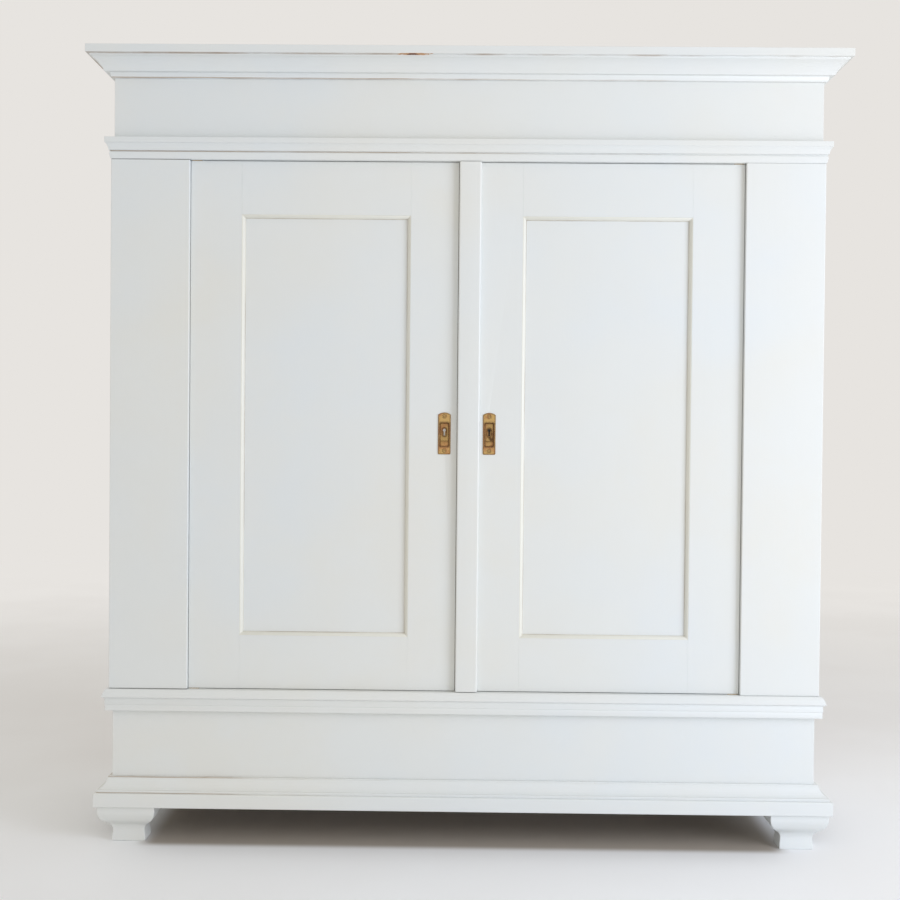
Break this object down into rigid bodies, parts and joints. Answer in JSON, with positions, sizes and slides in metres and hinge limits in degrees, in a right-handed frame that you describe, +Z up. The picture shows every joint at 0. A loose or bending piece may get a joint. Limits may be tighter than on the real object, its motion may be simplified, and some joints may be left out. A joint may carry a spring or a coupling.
{
  "type": "kas cupboard",
  "caption": "Tall painted cupboard with a moulded cornice, a pair of framed panel doors, a plinth base and ogee block feet; shelves inside for linen.",
  "frame": {"origin": "middle of the footprint of the overall box, on the floor", "axes": "+Z up, +Y to the back, +X to the viewer's right when facing the doors"},
  "size_m": [1.814, 0.609, 1.912],
  "materials": {
    "paint": "satin oil paint, pale grey-white, rubbed through to warm brown wood along arrises and moulding grooves",
    "bare_wood": "unpainted aged softwood",
    "brass": "aged unlacquered brass",
    "steel": "dull oiled steel"
  },
  "bodies": {
    "carcass": {"feet": "paint", "slab_front": "paint", "slab_sides": "paint", "plinth_front": "paint", "plinth_sides": "paint", "base_moulding_front": "paint", "base_moulding_returns": "paint", "sill_moulding_front": "paint", "sill_moulding_returns": "paint", "left_pilaster": "paint", "right_pilaster": "paint", "door_jambs": "paint", "left_side_frame": "paint", "right_side_frame": "paint", "left_side_panel": "paint", "right_side_panel": "paint", "architrave_front": "paint", "architrave_returns": "paint", "frieze_front": "paint", "frieze_sides": "paint", "cornice_front": "paint", "cornice_returns": "paint", "slab_back": "bare_wood", "plinth_back": "bare_wood", "bottom_board": "bare_wood", "ceiling_board": "bare_wood", "lower_shelf": "bare_wood", "middle_shelf": "bare_wood", "upper_shelf": "bare_wood", "shelf_bearers": "bare_wood", "back_boards": "bare_wood", "door_stops": "bare_wood", "frieze_back": "bare_wood", "roof_boards": "bare_wood", "pivot_sockets": "brass"},
    "left_door": {"left_hanging_stile": "paint", "left_meeting_stile": "paint", "left_top_rail": "paint", "left_bottom_rail": "paint", "left_panel": "paint", "left_panel_moulding": "paint", "left_lock_plate": "brass", "left_door_screws": "brass", "left_pivots": "steel", "lock_keeper": "steel", "slide_bolt_guides": "steel"},
    "right_door": {"right_hanging_stile": "paint", "right_meeting_stile": "paint", "right_top_rail": "paint", "right_bottom_rail": "paint", "right_panel": "paint", "right_panel_moulding": "paint", "right_lock_plate": "brass", "right_door_screws": "brass", "right_pivots": "steel", "cover_strip": "paint", "lock_case": "steel"},
    "lock_bolt": {"lock_bolt": "steel"},
    "upper_slide_bolt": {"upper_slide_bolt": "steel"},
    "lower_slide_bolt": {"lower_slide_bolt": "steel"}
  },
  "joints": [
    {"name": "left_door_pivot", "type": "hinge", "parent": "carcass", "child": "left_door", "pos_m": [-0.6528, -0.2385, 1.0125], "axis": [0, 0, -1], "range_deg": [0, 110]},
    {"name": "right_door_pivot", "type": "hinge", "parent": "carcass", "child": "right_door", "pos_m": [0.6528, -0.2385, 1.0125], "axis": [0, 0, 1], "range_deg": [0, 110]},
    {"name": "lock_bolt_slide", "type": "slide", "parent": "right_door", "child": "lock_bolt", "axis": [-1, 0, 0], "range_m": [0, 0.012]},
    {"name": "upper_bolt_slide", "type": "slide", "parent": "left_door", "child": "upper_slide_bolt", "axis": [0, 0, 1], "range_m": [0, 0.014]},
    {"name": "lower_bolt_slide", "type": "slide", "parent": "left_door", "child": "lower_slide_bolt", "axis": [0, 0, -1], "range_m": [0, 0.014]}
  ]
}
